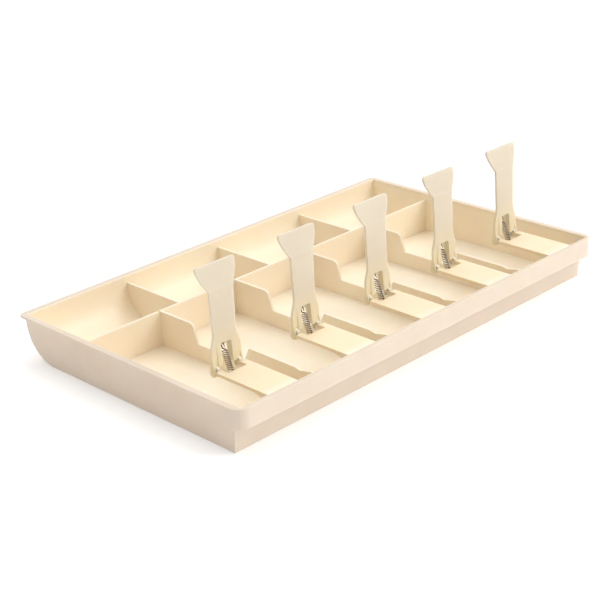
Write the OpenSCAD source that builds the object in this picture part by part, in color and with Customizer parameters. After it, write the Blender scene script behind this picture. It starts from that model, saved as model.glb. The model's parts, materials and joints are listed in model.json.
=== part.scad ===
// Cash tray insert: five note bays with sprung note clips along the front,
// four scooped coin cups along the back. Millimetres, +Z up.
// The origin is the middle of the base. The front, with its deep apron, faces -Y.

/* [Tray] */
// Length over the rim, left to right
tray_l = 405; // [380:1:430]
// Width over the rim, front to back
tray_w = 250; // [235:1:260]
// Height from the base to the top of the rim
tray_h = 37; // [34:0.5:42]
// Thickness of the floor and of the outer walls
wall_t = 2; // [1.6:0.1:2.4]
// Thickness of the rim flange
rim_t = 2; // [1.6:0.1:2.4]
// How far the rim stands out from the end and back walls
rim_out = 3.4; // [2.5:0.1:4.5]
// Depth of the apron that hangs from the front edge of the rim
apron_h = 15.5; // [12:0.5:20]
// Corner radius of the rim at the front
front_corner_r = 10; // [6:1:14]
// Corner radius of the rim at the back
back_corner_r = 4; // [1.5:0.5:5]

/* [Dividers] */
// Thickness of the dividers and of the cross wall
div_t = 2; // [1.6:0.1:2.6]
// Distance from the rim top down to the top of the cross wall and dividers
div_drop = 6; // [4:0.5:8]
// Front of the tray to the front face of the cross wall
cross_wall_y = 178.5; // [172:0.5:184]
// Height of the low middle part of a note divider
low_h = 15.5; // [12:0.5:20]
// Outer radius of the scooped back of the coin cups
scoop_r = 29; // [25:1:29]

/* [Note clips] */
// Width of the tongue that carries a clip
tongue_w = 28.8; // [27:0.1:32]
// Thickness of the tongue plate
tongue_t = 2.4; // [2:0.1:3]
// Front of the tray to the clip's hinge axis
hinge_y = 60; // [56:1:64]
// Depth of the hinge axis below the rim top
hinge_drop = 2.5; // [2:0.1:3]
// Radius of a clip's trunnions
trunnion_r = 1.5; // [1.2:0.1:1.8]
// Length of a clip from its hinge axis to the end of its head
clip_len = 79; // [72:1:84]
// Width across a clip's head
head_w = 36.2; // [32:0.2:40]
// Width across a clip's two legs
leg_w = 27.6; // [27.4:0.1:28.4]
// Thickness of a clip's plate
clip_t = 2.2; // [1.8:0.1:2.6]
// How far a raised clip leans back from upright, in degrees
clip_lean = 1.3; // [0:0.1:3]

/* [Springs] */
// Outside diameter of a spring's coils
coil_d = 5; // [4:0.1:5.4]
// Wire diameter of a spring
wire_d = 0.8; // [0.6:0.1:1]

/* [Hidden] */
$fn = 96;

cream = [0.95, 0.88, 0.75];
clip_cream = [0.90, 0.86, 0.76];
steel = [0.62, 0.61, 0.58];

bays = 5;
cups = 4;
eps = 0.01;

// heights
floor_z = wall_t;
div_z = tray_h - div_drop;
front_div_z = div_z - 1.5;
apron_z = tray_h - apron_h;

// end walls lean inwards towards the base by this much
end_draft = 1.2;
end_in_top = rim_out + 1.5;
end_in_base = rim_out + end_draft + wall_t;

// front wall, behind the apron: outside and inside faces at four levels
front_lip = 3.8;
front_top_z = tray_h - 2.6;
front_step_y = 9.3;
front_base_y = 11.8;

// back of the coin cups
back_wall_y = tray_w - rim_out - 0.8;
scoop_y = back_wall_y - scoop_r;
cup_fillet_r = 6;

// spacing of the bays and cups
inner_l = tray_l - 2 * end_in_top;
bay_pitch = (inner_l + div_t) / bays;
cup_pitch = (inner_l + div_t) / cups;
// the tongues sit a little right of the middle of their bays
tongue_shift = 1;

// clip and hinge, measured from the hinge axis
hinge_z = tray_h - hinge_drop;
toe_z = hinge_drop + 0.1;
knuckle_r = 3;
knuckle_in = 8.8;
knuckle_out = 12;
ear_in = 12.4;
ear_r = 2.9;
leg_bottom = 3.6;
slot_w = 10;
slot_top = 20.8;
slot_corner_r = 2;
guard_t = 1.6;
rib_out = 9;
flare_start = 14;
flare_end = 29;
shank_w = 21;
neck_w = 22.4;
neck_s = 61;
head_bend = 15;
head_len = (clip_len - neck_s) / cos(head_bend);
head_corner_r = 2.5;
notch_y = 48.9;
tongue_rear_y = hinge_y - 4.2;
fit = 0.06;

// spring and its anchor pin
hook_y = 3;
hook_s = 17.3;
hook_r = 1.5;
hook_bar_r = 0.7;
anchor_y = hinge_y - 5;
anchor_z = hinge_z - 4.4;
anchor_r = 1;
anchor_hook_r = 1.6;
anchor_press = 0.02;
bracket_in = 2.8;
bracket_out = 4.6;
bracket_r = 1.75;

function divider_x(i, pitch) = end_in_top + pitch * i - div_t;
function tongue_x(i) = end_in_top + bay_pitch * (i - 0.5) - div_t / 2 + tongue_shift;
function arc(cy, cz, r, a0, a1, n = 6) =
    [for (k = [0:n]) let (a = a0 + (a1 - a0) * k / n) [cy + r * cos(a), cz + r * sin(a)]];
function smooth(t) = t <= 0 ? 0 : t >= 1 ? 1 : t * t * (3 - 2 * t);

// the same shape on the right (1) or, mirrored, on the left (-1)
module on_side(s) {
    if (s > 0) children();
    else mirror([1, 0, 0]) children();
}

// everything is measured from the front left corner of the rim at the base
module from_corner() translate([-tray_l / 2, -tray_w / 2, 0]) children();

// a side profile, drawn in Y and Z, given a thickness along X
module along_x(x0, x1) translate([x0, 0, 0]) rotate([90, 0, 90])
    linear_extrude(x1 - x0) children();

// a front profile, drawn in X and Z, given a thickness along Y
module along_y(y0, y1) translate([0, y1, 0]) rotate([90, 0, 0])
    linear_extrude(y1 - y0) children();

module rounded_block(x0, y0, x1, y1, rf, rb, z0, z1) {
    translate([0, 0, z0]) linear_extrude(z1 - z0) union() {
        translate([x0 + rf, y0]) square([x1 - x0 - 2 * rf, rf + eps]);
        translate([x0, y0 + rf]) square([x1 - x0, y1 - y0 - rf - rb]);
        translate([x0 + rb, y1 - rb - eps]) square([x1 - x0 - 2 * rb, rb + eps]);
        for (x = [x0 + rf, x1 - rf]) translate([x, y0 + rf]) circle(rf);
        for (x = [x0 + rb, x1 - rb]) translate([x, y1 - rb]) circle(rb);
    }
}

// ---- tray ----

module outer_profile() {
    difference() {
        union() {
            polygon([[front_base_y, 0], [scoop_y, 0], [scoop_y, tray_h - eps],
                [2, tray_h - eps], [2, front_top_z], [front_step_y, apron_z]]);
            translate([scoop_y - eps, scoop_r])
                square([scoop_r + eps, tray_h - scoop_r - eps]);
            translate([scoop_y, scoop_r]) circle(scoop_r);
        }
        translate([0, tray_h - 1]) square([tray_w, 40]);
    }
}

module end_profile(inset_top, inset_base, z0) {
    polygon([[inset_top, tray_h + 1], [inset_base, z0],
        [tray_l - inset_base, z0], [tray_l - inset_top, tray_h + 1]]);
}

module body_solid() {
    intersection() {
        along_x(0, tray_l) outer_profile();
        along_y(0, tray_w) end_profile(rim_out, rim_out + end_draft, 0);
    }
}

module rim_solid() {
    rounded_block(0, 0, tray_l, tray_w, front_corner_r, back_corner_r,
        tray_h - rim_t, tray_h);
}

module apron_solid() {
    side_y = 16;
    difference() {
        intersection() {
            rounded_block(0, 0, tray_l, tray_w, front_corner_r, back_corner_r,
                apron_z, tray_h - eps);
            translate([-1, -1, 0]) cube([tray_l + 2, side_y + 1, tray_h]);
        }
        translate([0, 0, -1]) rounded_block(wall_t, wall_t, tray_l - wall_t,
            side_y - wall_t, front_corner_r - wall_t, 1, apron_z, tray_h - 1.5);
    }
}

module note_profile() {
    polygon([[front_lip, tray_h + 1], [front_lip, front_top_z],
        [front_step_y + wall_t, apron_z], [front_base_y + wall_t, floor_z],
        [cross_wall_y, floor_z], [cross_wall_y, tray_h + 1]]);
}

module cup_profile() {
    y0 = cross_wall_y + div_t;
    r_in = scoop_r - wall_t;
    polygon(concat([[y0, tray_h + 1]],
        arc(y0 + cup_fillet_r, floor_z + cup_fillet_r, cup_fillet_r, 180, 270),
        [[scoop_y, floor_z], [scoop_y, tray_h + 1]]));
    translate([scoop_y - eps, scoop_r]) square([r_in + eps, tray_h + 1 - scoop_r]);
    intersection() {
        translate([scoop_y, scoop_r]) circle(r_in);
        translate([scoop_y - eps, 0]) square([r_in + 1, tray_h]);
    }
}

module hollow() {
    intersection() {
        along_x(0, tray_l) union() {
            note_profile();
            cup_profile();
            translate([cross_wall_y - eps, div_z])
                square([div_t + 2 * eps, div_drop + 1]);
        }
        along_y(0, tray_w) end_profile(end_in_top, end_in_base, floor_z);
    }
}

// high at the back, low in the middle so that notes can be thumbed, high again at the front
module note_divider(x) {
    rear_y = 144.6;
    front_y = 78.5;
    r = 4;
    along_x(x, x + div_t) polygon(concat(
        [[front_base_y + 1, 1], [cross_wall_y + 1, 1], [cross_wall_y + 1, div_z]],
        arc(rear_y, div_z - r, r, 90, 160),
        arc(rear_y - 9.9, low_h + 2, 2, -20, -90, 3),
        arc(front_y + 8, low_h + 2, 2, 270, 205, 3),
        arc(front_y - 1.4, front_div_z - 2, 2, 25, 90, 4),
        [[30, front_div_z], [25.5, front_div_z - 1.2], [15, front_div_z + 0.9],
            [5, front_div_z + 1.4], [front_step_y + 1, apron_z]]));
}

module cup_divider(x) {
    r = scoop_r - wall_t / 2;
    intersection() {
        along_x(x, x + div_t) union() {
            translate([cross_wall_y + 1, 1]) square([scoop_y - cross_wall_y, div_z - 1]);
            translate([scoop_y, scoop_r]) circle(r);
            translate([scoop_y, scoop_r]) square([r, tray_h - scoop_r]);
        }
        translate([0, cross_wall_y + 1, 1])
            cube([tray_l, back_wall_y - cross_wall_y, div_z - 1]);
    }
}

// flat tongue at rim height, with two knuckles at its rear end
module tongue(x) translate([x, 0, 0]) {
    half = tongue_w / 2;
    difference() {
        union() {
            translate([-half, 2.5, tray_h - tongue_t])
                cube([tongue_w, notch_y - 2.5, tongue_t - eps]);
            for (s = [-1, 1]) on_side(s) {
                // prong beside the gap where the spring passes
                translate([knuckle_in, notch_y - 1, tray_h - tongue_t])
                    cube([half - knuckle_in, tongue_rear_y - notch_y + 1, tongue_t - eps]);
                translate([knuckle_in, notch_y - 1, hinge_z - 1.2])
                    cube([knuckle_out - knuckle_in, hinge_y - notch_y + 1,
                        hinge_drop + 1.2 - eps]);
                translate([knuckle_in, hinge_y, hinge_z]) rotate([0, 90, 0])
                    cylinder(r = knuckle_r, h = knuckle_out - knuckle_in);
                // bracket that holds one end of the spring's anchor pin
                along_x(bracket_in, bracket_out) polygon([[notch_y - 4, tray_h - 1.5],
                    [notch_y - 0.1, tray_h - 1.5], [notch_y - 0.1, tray_h - tongue_t],
                    [anchor_y + 1, anchor_z + 1.43], [anchor_y - 1, anchor_z - 1.43]]);
                translate([bracket_in, anchor_y, anchor_z]) rotate([0, 90, 0])
                    cylinder(r = bracket_r, h = bracket_out - bracket_in);
                // small gusset under the edge
                along_x(half - 2, half) polygon([[3, tray_h - 1], [3, front_top_z],
                    [5.3, div_z], [17, tray_h - tongue_t], [17, tray_h - 1]]);
            }
        }
        translate([-20, hinge_y, hinge_z]) rotate([0, 90, 0])
            cylinder(r = trunnion_r + fit, h = 40);
        translate([-20, anchor_y, anchor_z]) rotate([0, 90, 0])
            cylinder(r = anchor_r - anchor_press, h = 40);
    }
}

module tray_shell() color(cream) from_corner() {
    difference() {
        union() {
            body_solid();
            rim_solid();
            apron_solid();
        }
        hollow();
        // small relief in the cross wall beside each note divider
        for (i = [1:bays - 1])
            translate([divider_x(i, bay_pitch) - 1.8, cross_wall_y - 1, div_z - 1.4])
                cube([1.6, div_t + 2, 3]);
    }
    for (i = [1:bays - 1]) note_divider(divider_x(i, bay_pitch));
    for (i = [1:cups - 1]) cup_divider(divider_x(i, cup_pitch));
    for (i = [1:bays]) tongue(tongue_x(i));
}

// ---- note clips ----

// places a clip's parts: x across the tray, y along it and z up from the hinge axis
module at_hinge(i) from_corner() translate([tongue_x(i), hinge_y, hinge_z]) children();

module shank_outline() {
    n = 12;
    side = [for (k = [0:n])
        let (s = flare_start + (flare_end - flare_start) * k / n)
        [leg_w / 2 - (leg_w - shank_w) / 2 * smooth(k / n), s]];
    right = concat([[leg_w / 2, leg_bottom]], side, [[neck_w / 2, neck_s + 0.3]]);
    polygon(concat(right, [for (k = [len(right) - 1:-1:0]) [-right[k][0], right[k][1]]]));
}

module head_outline() {
    n = 14;
    function half(t) = neck_w / 2 + (head_w - neck_w) / 2 * sin(90 * t);
    function corner(s) = let (d = s - (head_len - head_corner_r))
        d <= 0 ? 0 : head_corner_r - sqrt(max(0, pow(head_corner_r, 2) - d * d));
    right = [for (k = [0:n]) let (s = head_len * sin(90 * k / n))
        [half(s / head_len) - corner(s), s]];
    polygon(concat(right, [for (k = [n:-1:0]) [-right[k][0], right[k][1]]]));
}

module slot_outline() {
    r = slot_corner_r;
    translate([-slot_w / 2, -20]) square([slot_w, 20 + slot_top - r]);
    translate([r - slot_w / 2, 0]) square([slot_w - 2 * r, slot_top]);
    for (x = [r - slot_w / 2, slot_w / 2 - r]) translate([x, slot_top - r]) circle(r);
}

module clip_foot() {
    // ear outside the knuckle, down to a round end on the hinge axis
    along_x(ear_in, leg_w / 2) polygon([[-ear_r, 0], [ear_r, 0],
        [clip_t / 2, 10], [-clip_t / 2, 10]]);
    translate([ear_in, 0, 0]) rotate([0, 90, 0])
        cylinder(r = ear_r, h = leg_w / 2 - ear_in);
    // trunnion that turns in the knuckle
    translate([knuckle_in + 0.3, 0, 0]) rotate([0, 90, 0])
        cylinder(r = trunnion_r, h = ear_in - knuckle_in);
    // guard that stands out behind, beside the spring
    along_x(slot_w / 2, slot_w / 2 + guard_t) polygon([[-0.5, leg_bottom],
        [3.2, leg_bottom], [4.6, 15.5], [4.6, 18.6], [0.5, slot_top + 2],
        [-0.5, slot_top + 2]]);
    // low rib down the front beside the slot
    along_x(slot_w / 2, rib_out) polygon([[-0.5, leg_bottom], [-1.9, leg_bottom],
        [-1.9, leg_bottom + 0.8], [-clip_t / 2 - 0.05, slot_top + 0.8],
        [-0.5, slot_top + 0.8]]);
    // small toe that rests on the tongue when the clip stands up
    along_x(knuckle_in + 0.4, knuckle_out) polygon([[-0.5, leg_bottom],
        [-clip_t / 2, leg_bottom], [-2, toe_z], [-3.4, toe_z],
        [-3.4, toe_z + 0.5], [-clip_t / 2, 5.4], [-0.5, 5.4]]);
}

module note_clip(i) color(clip_cream) at_hinge(i) rotate([-clip_lean, 0, 0]) {
    difference() {
        union() {
            along_y(-clip_t / 2, clip_t / 2) shank_outline();
            translate([0, 0, neck_s]) rotate([-head_bend, 0, 0])
                along_y(-clip_t / 2, clip_t / 2) head_outline();
            for (s = [-1, 1]) on_side(s) clip_foot();
        }
        // spring slot
        along_y(-20, 20) slot_outline();
    }
    // bar between the guards that the spring's hook goes round
    translate([-slot_w / 2 - 0.5, hook_y, hook_s + hook_r - wire_d / 2 - hook_bar_r - 0.05])
        rotate([0, 90, 0]) cylinder(r = hook_bar_r, h = slot_w + 1);
}

// ---- springs ----

module wire_ring(r) rotate([0, 90, 0]) rotate_extrude()
    translate([r, 0]) circle(d = wire_d, $fn = 24);

module clip_spring(i) color(steel) at_hinge(i) {
    hook = [hook_y * cos(clip_lean) + hook_s * sin(clip_lean),
        hook_s * cos(clip_lean) - hook_y * sin(clip_lean)];
    anchor = [anchor_y - hinge_y, anchor_z - hinge_z];
    span = norm(hook - anchor);
    lean = atan2(hook[0] - anchor[0], hook[1] - anchor[1]);
    coil_r = (coil_d - wire_d) / 2;
    pitch = wire_d * 0.94;
    body_lo = anchor_hook_r + 1.2;
    body_hi = span - hook_r - 1.3;
    turns = ceil((body_hi - body_lo) / pitch);
    step = (body_hi - body_lo) / turns;
    translate([0, anchor[0], anchor[1]]) rotate([-lean, 0, 0]) {
        rotate_extrude() for (k = [0:turns])
            translate([coil_r, body_lo + step * k]) circle(d = wire_d, $fn = 24);
        // hooks at both ends, each joined to the coil by a straight wire and a cross wire
        wire_ring(anchor_hook_r);
        translate([0, 0, span]) wire_ring(hook_r);
        for (z = [body_lo, body_hi]) translate([0, coil_r, z]) rotate([90, 0, 0])
            cylinder(d = wire_d * 0.9, h = 2 * coil_r, $fn = 24);
        translate([0, 0, anchor_hook_r])
            cylinder(d = wire_d * 0.8, h = body_lo - anchor_hook_r, $fn = 24);
        translate([0, 0, body_hi])
            cylinder(d = wire_d * 0.8, h = span - hook_r - body_hi, $fn = 24);
    }
}

module spring_anchor(i) color(steel) from_corner()
    translate([tongue_x(i) - bracket_out, anchor_y, anchor_z]) rotate([0, 90, 0])
        cylinder(r = anchor_r, h = 2 * bracket_out);

tray_shell();
for (i = [1:bays]) {
    note_clip(i);
    clip_spring(i);
    spring_anchor(i);
}
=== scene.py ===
"""Cash tray insert: moulded tray, five sprung note clips and their coil springs, on the CAD frame."""

import json
import math

import bpy
from mathutils import Matrix, Vector


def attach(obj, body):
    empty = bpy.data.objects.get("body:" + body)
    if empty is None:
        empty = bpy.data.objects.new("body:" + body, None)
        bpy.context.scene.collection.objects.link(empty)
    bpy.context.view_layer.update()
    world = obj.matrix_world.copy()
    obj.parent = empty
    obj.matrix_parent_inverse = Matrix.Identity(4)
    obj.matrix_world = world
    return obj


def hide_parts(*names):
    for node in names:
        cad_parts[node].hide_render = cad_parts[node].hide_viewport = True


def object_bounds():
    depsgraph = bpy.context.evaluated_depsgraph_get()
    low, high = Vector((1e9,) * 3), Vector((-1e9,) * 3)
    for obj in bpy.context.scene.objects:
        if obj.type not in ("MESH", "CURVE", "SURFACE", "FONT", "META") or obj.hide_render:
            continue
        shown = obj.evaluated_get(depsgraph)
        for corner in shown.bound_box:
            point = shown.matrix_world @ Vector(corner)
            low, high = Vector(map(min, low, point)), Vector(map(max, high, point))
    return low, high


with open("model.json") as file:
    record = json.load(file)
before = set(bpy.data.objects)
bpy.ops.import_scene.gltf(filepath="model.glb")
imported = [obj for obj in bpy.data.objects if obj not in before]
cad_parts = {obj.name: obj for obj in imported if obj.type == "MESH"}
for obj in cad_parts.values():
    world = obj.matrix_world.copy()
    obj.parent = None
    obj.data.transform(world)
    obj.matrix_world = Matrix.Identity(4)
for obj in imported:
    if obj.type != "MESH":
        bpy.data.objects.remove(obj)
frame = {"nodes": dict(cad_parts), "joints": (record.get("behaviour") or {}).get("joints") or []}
cad_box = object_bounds()

MM = 0.001
CLIPS = range(1, 6)
joints = {joint["name"]: joint for joint in frame["joints"]}


# ---- materials ----

# where the tray's painted glow starts and stops: its end walls, its front wall at the base and at the
# lip, the curve at the back of the coin cups, and the tongues
END_WALL_X = cad_box[1][0] - 4.6 * MM
FRONT_WALL_Y = cad_box[0][1] + 11.9 * MM
FRONT_LIP_Y = cad_box[0][1] + 3.4 * MM
APRON_Z = 21.5 * MM
FRONT_LIP_Z = 34.5 * MM
SCOOP_R = 29 * MM
SCOOP_Y = cad_box[1][1] - 33.2 * MM
TONGUE_Z = 34.3 * MM
TONGUE_END_Y = cad_box[0][1] + 65 * MM
# where a clip's painted warm glow starts and where it is full
SHANK_Z = 70 * MM
FOOT_Z = 36 * MM


class Shader:
    """A node material, built one node at a time."""

    def __init__(self, name):
        self.material = bpy.data.materials.new(name)
        self.material.use_nodes = True
        self.tree = self.material.node_tree
        self.surface = self.tree.nodes["Principled BSDF"]
        self.place = self.tree.nodes.new("ShaderNodeTexCoord").outputs["Object"]

    def node(self, kind, inputs=(), **settings):
        made = self.tree.nodes.new(kind)
        for key, value in settings.items():
            setattr(made, key, value)
        for key, value in dict(inputs).items():
            self.put(made.inputs[key], value)
        return made

    def put(self, socket, value):
        if isinstance(value, bpy.types.NodeSocket):
            self.tree.links.new(value, socket)
        else:
            socket.default_value = value

    def set(self, **values):
        for key, value in values.items():
            self.put(self.surface.inputs[key.replace("_", " ")], value)

    def along(self):
        """The place on the surface, as its X, Y and Z."""
        return self.node("ShaderNodeSeparateXYZ", {"Vector": self.place}).outputs

    def noise(self, scale, detail, rough, stretch=(1, 1, 1)):
        """Grey noise about 1 / scale metres across."""
        place = self.place
        if stretch != (1, 1, 1):
            place = self.node("ShaderNodeMapping", {"Vector": place, "Scale": stretch}).outputs[0]
        made = self.node("ShaderNodeTexNoise", {"Vector": place, "Scale": scale, "Detail": detail,
                                                "Roughness": rough})
        return made.outputs["Fac"]

    def ranged(self, value, low, high, to_low, to_high):
        made = self.node("ShaderNodeMapRange", {"Value": value, "From Min": low, "From Max": high,
                                                "To Min": to_low, "To Max": to_high})
        return made.outputs[0]

    def mixed(self, share, first, second):
        made = self.node("ShaderNodeMix", data_type="RGBA")
        for socket, value in ((made.inputs[0], share), (made.inputs[6], first),
                              (made.inputs[7], second)):
            self.put(socket, value)
        return made.outputs[2]

    def math(self, operation, first, second=0.0):
        made = self.node("ShaderNodeMath", operation=operation)
        self.put(made.inputs[0], first)
        self.put(made.inputs[1], second)
        return made.outputs[0]


def colour(red, green, blue):
    return (red, green, blue, 1.0)


def moulded_plastic(name, base, pale_and_edge_highlight, deep, scatter, reach, spread, painted_light_zones):
    """Ivory plastic: a faint flow pattern, fine mould texture, softened edges lightened with a painted
    highlight.
    """
    shader = Shader(name)
    soft = shader.node("ShaderNodeBevel", {"Radius": 0.5 * MM}, samples=6).outputs[0]
    flat = shader.node("ShaderNodeNewGeometry").outputs["Normal"]
    agree = shader.node("ShaderNodeVectorMath", operation="DOT_PRODUCT")
    shader.put(agree.inputs[0], soft)
    shader.put(agree.inputs[1], flat)
    edge = shader.ranged(agree.outputs["Value"], 0.995, 0.86, 0.0, 1.0)
    flow = shader.noise(9, 2.0, 0.5, (1, 2.2, 1))
    cloud = shader.noise(38, 4.0, 0.6)
    tone = base
    # painted light: each zone's tint stands in for light bounced round or shining through the plastic
    # there
    for where, tint in painted_light_zones:
        tone = shader.mixed(where(shader), tone, tint)
    tone = shader.mixed(shader.ranged(flow, 0.35, 0.65, 0.0, 0.22), tone, deep)
    tone = shader.mixed(shader.ranged(cloud, 0.3, 0.75, 0.0, 0.14), tone, pale_and_edge_highlight)
    # painted highlight: the softened edges are lightened towards the pale colour
    tone = shader.mixed(shader.math("MULTIPLY", edge, 0.3), tone, pale_and_edge_highlight)
    grain = shader.noise(2600, 2.0, 0.6)
    scuff = shader.noise(420, 3.0, 0.65, (0.35, 1, 1))
    height = shader.math("ADD", grain, shader.math("MULTIPLY", scuff, 0.6))
    bump = shader.node("ShaderNodeBump", {"Height": height, "Normal": soft, "Strength": 0.09,
                                          "Distance": 0.12 * MM})
    rough = shader.math("ADD", shader.ranged(scuff, 0.3, 0.7, 0.34, 0.46),
                        shader.math("MULTIPLY", edge, -0.08))
    shader.set(Base_Color=tone, Roughness=rough, Normal=bump.outputs[0], IOR=1.5,
               Subsurface_Weight=scatter, Subsurface_Radius=spread,
               Subsurface_Scale=reach)
    return shader.material


def painted_glow_inside_rim(shader):
    """1 between the outer walls of the tray, where a lighter, warmer colour is painted in for light
    bounced round inside the tray, and 0 outside.
    """
    x, y, z = shader.along()
    between_ends = shader.ranged(shader.math("ABSOLUTE", x), END_WALL_X - 0.5 * MM, END_WALL_X,
                                 1.0, 0.0)
    front = shader.ranged(z, APRON_Z, FRONT_LIP_Z, FRONT_WALL_Y, FRONT_LIP_Y)
    behind_front = shader.ranged(shader.math("SUBTRACT", y, front), 0.0, 0.3 * MM, 0.0, 1.0)
    # the coin cups curve up at the back, round an axis above their floor
    back = shader.math("MAXIMUM", shader.math("SUBTRACT", y, SCOOP_Y), 0.0)
    low = shader.math("MAXIMUM", shader.math("SUBTRACT", SCOOP_R, z), 0.0)
    from_axis = shader.math("SQRT", shader.math("ADD", shader.math("POWER", back, 2.0),
                                                shader.math("POWER", low, 2.0)))
    in_scoop = shader.ranged(from_axis, SCOOP_R - 1.2 * MM, SCOOP_R - 0.8 * MM, 1.0, 0.0)
    return shader.math("MULTIPLY", shader.math("MULTIPLY", between_ends, behind_front), in_scoop)


def painted_glow_on_tongues(shader):
    """1 on the thin tongues, which stand free over the bays and get a yellower colour painted in for
    light glowing through them, and 0 elsewhere.
    """
    x, y, z = shader.along()
    high = shader.ranged(z, TONGUE_Z, TONGUE_Z + 0.3 * MM, 0.0, 1.0)
    behind_rim = shader.ranged(y, FRONT_LIP_Y + 0.1 * MM, FRONT_LIP_Y + 9.6 * MM, 0.0, 1.0)
    ahead = shader.ranged(y, TONGUE_END_Y, TONGUE_END_Y + 1 * MM, 1.0, 0.0)
    inside = shader.ranged(shader.math("ABSOLUTE", x), END_WALL_X - 7.9 * MM,
                           END_WALL_X - 3.9 * MM, 1.0, 0.0)
    return shader.math("MULTIPLY", shader.math("MULTIPLY", high, behind_rim),
                       shader.math("MULTIPLY", ahead, inside))


def painted_glow_near_hinge(shader):
    """0 on the upper half of a clip, rising to 1 at its foot, where a brighter yellow is painted in for
    warm light bounced up from the tray and to lift the shade round the foot.
    """
    return shader.ranged(shader.along()[2], SHANK_Z, FOOT_Z, 0.0, 1.0)


def steel(name, bright, dark, along, rough):
    """Drawn steel: fine lines along the wire or pin and a little brown oxide."""
    shader = Shader(name)
    lines = shader.noise(900, 2.0, 0.6, along)
    stain = shader.noise(160, 4.0, 0.6)
    tone = shader.mixed(shader.ranged(stain, 0.42, 0.72, 0.0, 1.0), bright, dark)
    bump = shader.node("ShaderNodeBump", {"Height": lines, "Strength": 0.15,
                                          "Distance": 0.03 * MM})
    shader.set(Base_Color=tone, Metallic=1.0, Normal=bump.outputs[0],
               Roughness=shader.ranged(lines, 0.3, 0.7, rough - 0.07, rough + 0.1))
    return shader.material


def wound_wire(name, bright, dark):
    """Steel wire, painted with a highlight on the outside of each turn and dark painted shade
    elsewhere, broken by a random stain.
    """
    shader = Shader(name)
    outward = shader.node("ShaderNodeAttribute", attribute_name="outward").outputs["Fac"]
    lines = shader.noise(900, 2.0, 0.6, (1, 1, 0.2))
    stain = shader.noise(220, 4.0, 0.6)
    # painted light: the outside of each turn gets the bright colour as a highlight, the inward faces
    # and gaps the near-black colour as shade
    lit_side_and_stain = shader.math("ADD", outward, shader.ranged(stain, 0.3, 0.7, -0.12, 0.12))
    tone = shader.mixed(shader.ranged(lit_side_and_stain, 0.7, 1.0, 0.0, 1.0), dark, bright)
    bump = shader.node("ShaderNodeBump", {"Height": lines, "Strength": 0.15,
                                          "Distance": 0.03 * MM})
    shader.set(Base_Color=tone, Metallic=1.0, Normal=bump.outputs[0],
               Roughness=shader.ranged(lines, 0.3, 0.7, 0.24, 0.42))
    return shader.material


# the tint inside the rim is painted glow of light bounced round inside the tray, the tint over the bays
# a painted glow through the thin tongues, and the pale colour also paints the edge highlight
tray_plastic = moulded_plastic("tray_plastic", base=colour(0.725, 0.62, 0.50),
                               pale_and_edge_highlight=colour(0.94, 0.88, 0.77), deep=colour(0.70, 0.58, 0.44),
                               scatter=0.35, reach=3.5 * MM, spread=(1.0, 0.75, 0.45),
                               painted_light_zones=((painted_glow_inside_rim, colour(0.965, 0.845, 0.67)),
                                      (painted_glow_on_tongues, colour(0.92, 0.77, 0.52))))
# the tint near the hinge is painted warm light bounced up from the tray, also lifting the shade round
# the foot, and the pale colour also paints the edge highlight
clip_plastic = moulded_plastic("clip_plastic", base=colour(0.655, 0.59, 0.48),
                               pale_and_edge_highlight=colour(0.88, 0.83, 0.72), deep=colour(0.62, 0.54, 0.40),
                               scatter=0.7, reach=4.5 * MM, spread=(1.0, 0.93, 0.8),
                               painted_light_zones=((painted_glow_near_hinge, colour(0.86, 0.74, 0.485)),))
# the near-black colour is painted shade in the gaps between the spring's turns, the bright one a
# painted highlight
spring_steel = wound_wire("spring_steel", colour(0.58, 0.49, 0.38), colour(0.015, 0.009, 0.006))
pin_steel = steel("pin_steel", colour(0.55, 0.54, 0.52), colour(0.30, 0.27, 0.23),
                  (0.1, 1, 1), 0.28)


def finish(name, material):
    node = frame["nodes"][name]
    node.data.materials.clear()
    node.data.materials.append(material)


finish("tray_shell", tray_plastic)
for i in CLIPS:
    finish(f"note_clip_{i}", clip_plastic)
    finish(f"spring_anchor_{i}", pin_steel)


# ---- springs ----

WIRE_R = 0.42 * MM
COIL_R = 2.05 * MM
TURNS = 11
WIRE_SIDES = 10
COIL_STEPS = 22
RING_STEPS = 26
BEND_STEPS = 9
ANCHOR_HOOK_R = 1.6 * MM
TOP_HOOK_R = 1.5 * MM
# the top loop is long, because the clip's bar comes nearer to the anchor when the clip is down
TOP_LOOP_L = 2.7 * MM
# bare wire between the coil and the hook or loop, and how far its bends reach
ANCHOR_NECK_L = 1.6 * MM
TOP_NECK_L = 1.8 * MM
BEND_REACH = 3.6 * MM
# centre of the top hook, back from and above the clip's hinge axis
TOP_HOOK = Vector((0, 3.39 * MM, 17.23 * MM))


def hermite(start, start_way, end, end_way, steps):
    """Points on a smooth curve between two ends, without the ends themselves."""
    points = []
    for k in range(1, steps):
        t = k / steps
        points.append((2 * t**3 - 3 * t**2 + 1) * start + (t**3 - 2 * t**2 + t) * start_way
                      + (3 * t**2 - 2 * t**3) * end + (t**3 - t**2) * end_way)
    return points


def half_ring(centre, radius, first, last):
    """Points on a ring in the YZ plane round a height on the Z axis, between two angles."""
    angles = (math.radians(first + (last - first) * k / RING_STEPS) for k in range(RING_STEPS + 1))
    return [Vector((0, radius * math.cos(a), centre + radius * math.sin(a))) for a in angles]


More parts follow.
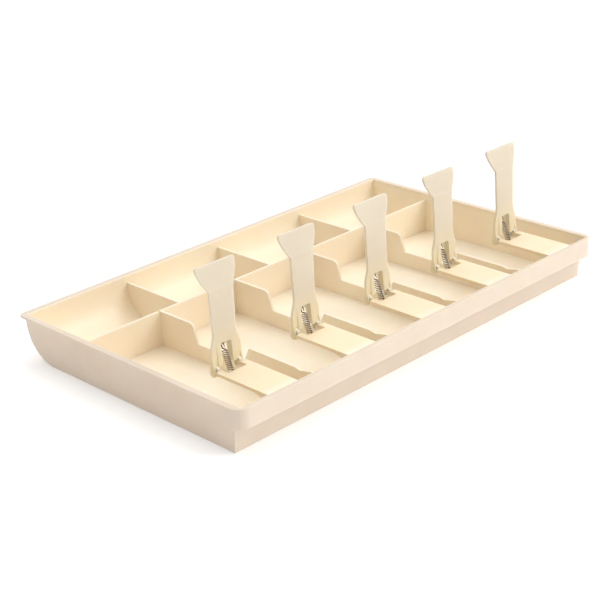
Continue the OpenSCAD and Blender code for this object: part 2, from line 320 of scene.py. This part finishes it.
def spring_path(length):
    """The wire from hook to loop, with the anchor hook's centre at the origin and the coil along +Z."""
    low = ANCHOR_HOOK_R + ANCHOR_NECK_L
    high = length - TOP_LOOP_L - TOP_NECK_L
    steps = TURNS * COIL_STEPS

    def coil(k):
        turn = 2 * math.pi * TURNS * k / steps
        return Vector((COIL_R * math.sin(turn), -COIL_R * math.cos(turn),
                       low + (high - low) * k / steps))

    hook = half_ring(0, ANCHOR_HOOK_R, -245, 62)
    winding = [coil(k) for k in range(steps + 1)]
    loop = [Vector((0, TOP_HOOK_R, length - TOP_LOOP_L))]
    loop += half_ring(length, TOP_HOOK_R, 0, 180)
    loop += [Vector((0, -TOP_HOOK_R, length - TOP_LOOP_L * 0.8))]

    def bend(before, after):
        """From the end of one stretch of wire to the start of the next."""
        return hermite(before[-1], (before[-1] - before[-2]).normalized() * BEND_REACH,
                       after[0], (after[1] - after[0]).normalized() * BEND_REACH, BEND_STEPS)

    return hook + bend(hook, winding) + winding + bend(winding, loop) + loop


def tube(name, path, radius, sides):
    """A closed tube along a path around +Z, which notes how far each of its points faces outward."""
    spine = [path[0]] + path + [path[-1]]
    radii = [radius * 0.55] + [radius] * len(path) + [radius * 0.55]
    ways = [(path[min(k + 1, len(path) - 1)] - path[max(k - 1, 0)]).normalized()
            for k in range(len(path))]
    spine[0] = path[0] - ways[0] * radius * 0.5
    spine[-1] = path[-1] + ways[-1] * radius * 0.5
    ways = [ways[0]] + ways + [ways[-1]]
    side = ways[0].orthogonal().normalized()
    points, outward = [], []
    for spot, way, size in zip(spine, ways, radii):
        side = (side - way * side.dot(way)).normalized()
        up = way.cross(side)
        out = Vector((spot.x, spot.y, 0)).normalized()
        for a in (2 * math.pi * k / sides for k in range(sides)):
            normal = math.cos(a) * side + math.sin(a) * up
            points.append(spot + size * normal)
            outward.append(0.5 + 0.5 * normal.dot(out))
    faces = []
    for ring in range(len(spine) - 1):
        for k in range(sides):
            a, b = ring * sides + k, ring * sides + (k + 1) % sides
            faces.append((a, b, b + sides, a + sides))
    last = (len(spine) - 1) * sides
    faces += [tuple(reversed(range(sides))), tuple(range(last, last + sides))]
    mesh = bpy.data.meshes.new(name)
    mesh.from_pydata(points, [], faces)
    mesh.update()
    layer = mesh.attributes.new("outward", "FLOAT", "POINT")
    layer.data.foreach_set("value", outward)
    for polygon in mesh.polygons:
        polygon.use_smooth = True
    made = bpy.data.objects.new(name, mesh)
    bpy.context.collection.objects.link(made)
    return made


for i in CLIPS:
    anchor = Vector(joints[f"spring_{i}_swing"]["pos_m"])
    top = Vector(joints[f"clip_{i}_hinge"]["pos_m"]) + TOP_HOOK
    lean = Vector((0, 0, 1)).rotation_difference(top - anchor).to_matrix().to_4x4()
    spring = tube(f"clip_spring_{i}_wire", spring_path((top - anchor).length), WIRE_R, WIRE_SIDES)
    spring.data.transform(Matrix.Translation(anchor) @ lean)
    spring.data.materials.append(spring_steel)
    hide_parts(f"clip_spring_{i}")
    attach(spring, f"spring_{i}")


# ---- studio ----

def area_light(name, spot, aim, size, power, tint):
    light = bpy.data.lights.new(name, "AREA")
    light.shape = "RECTANGLE"
    light.size, light.size_y = size
    light.energy = power
    light.color = tint
    made = bpy.data.objects.new(name, light)
    made.location = spot
    made.rotation_euler = (Vector(aim) - Vector(spot)).to_track_quat("-Z", "Y").to_euler()
    bpy.context.collection.objects.link(made)


def studio_floor():
    mesh = bpy.data.meshes.new("studio_floor")
    half = 6.0
    mesh.from_pydata([(-half, -half, 0), (half, -half, 0), (half, half, 0), (-half, half, 0)], [],
                     [(0, 1, 2, 3)])
    made = bpy.data.objects.new("studio_floor", mesh)
    made.location.z = cad_box[0][2] - 0.05 * MM
    bpy.context.collection.objects.link(made)
    shader = Shader("studio_white")
    shader.set(Base_Color=colour(0.92, 0.92, 0.92), Roughness=0.9, Specular_IOR_Level=0.0,
               Emission_Color=colour(1, 1, 1), Emission_Strength=0.25)
    mesh.materials.append(shader.material)


def world_light(left, right):
    """White surroundings, dimmer on the left of the tray than on the right."""
    world = bpy.data.worlds.new("studio")
    world.use_nodes = True
    tree = world.node_tree
    around = tree.nodes.new("ShaderNodeTexCoord")
    parts = tree.nodes.new("ShaderNodeSeparateXYZ")
    ramp = tree.nodes.new("ShaderNodeMapRange")
    for socket, value in (("From Min", -0.8), ("From Max", 0.6), ("To Min", left),
                          ("To Max", right)):
        ramp.inputs[socket].default_value = value
    tree.links.new(around.outputs["Generated"], parts.inputs[0])
    tree.links.new(parts.outputs["X"], ramp.inputs["Value"])
    tree.links.new(ramp.outputs[0], tree.nodes["Background"].inputs["Strength"])
    tree.nodes["Background"].inputs["Color"].default_value = (1, 1, 1, 1)
    bpy.context.scene.world = world


def camera():
    lens = bpy.data.cameras.new("camera")
    lens.lens = 88.46
    lens.sensor_width = 36.0
    made = bpy.data.objects.new("camera", lens)
    spot = Vector((-0.76857, -0.77616, 0.49409))
    aim = Vector((-0.04570, -0.02613, 0.03700))
    look = (aim - spot).to_track_quat("-Z", "Y").to_matrix().to_4x4()
    roll = Matrix.Rotation(math.radians(-2.938), 4, "Z")
    made.matrix_world = Matrix.Translation(spot) @ look @ roll
    bpy.context.collection.objects.link(made)
    bpy.context.scene.camera = made


studio_floor()
world_light(0.39, 0.93)
area_light("key", (1.35, -1.6, 1.65), (0, 0, 0.02), (1.5, 1.5), 29, (1.0, 0.98, 0.98))
area_light("top", (0.1, 0.5, 2.2), (0, 0, 0.02), (1.8, 1.8), 18, (1.0, 0.985, 0.965))
camera()
bpy.context.scene.view_settings.view_transform = "Standard"
